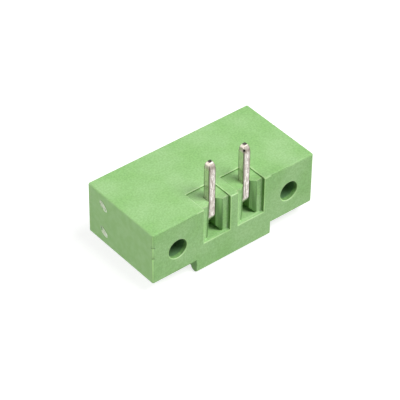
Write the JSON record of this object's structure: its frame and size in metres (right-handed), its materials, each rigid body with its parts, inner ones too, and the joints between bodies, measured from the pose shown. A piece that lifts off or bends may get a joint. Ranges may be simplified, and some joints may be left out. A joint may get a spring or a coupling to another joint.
{
  "type": "pluggable terminal block header",
  "caption": "Right-angle board header for a pluggable terminal block: green moulded housing, bent square solder pins, open plug cavity and screw flanges with captive nuts.",
  "frame": {"origin": "middle of the outline, on the surface that the header lies on, at the lowest line of the bead", "axes": "+X along the row of contacts, +Y from the back face to the mating face, +Z from the header's own top to the side that meets the board, so the solder pins point up"},
  "size_m": [0.024, 0.0122, 0.0142],
  "materials": {
    "green_polyamide": "satin moulded",
    "tinned_wire": "matt tin plating over copper alloy",
    "nickel_nut": "nickel plated"
  },
  "bodies": {
    "root": {"housing": "green_polyamide", "contact_pin_1": "tinned_wire", "contact_pin_2": "tinned_wire", "flange_nut_1": "nickel_nut", "flange_nut_2": "nickel_nut"}
  },
  "joints": []
}
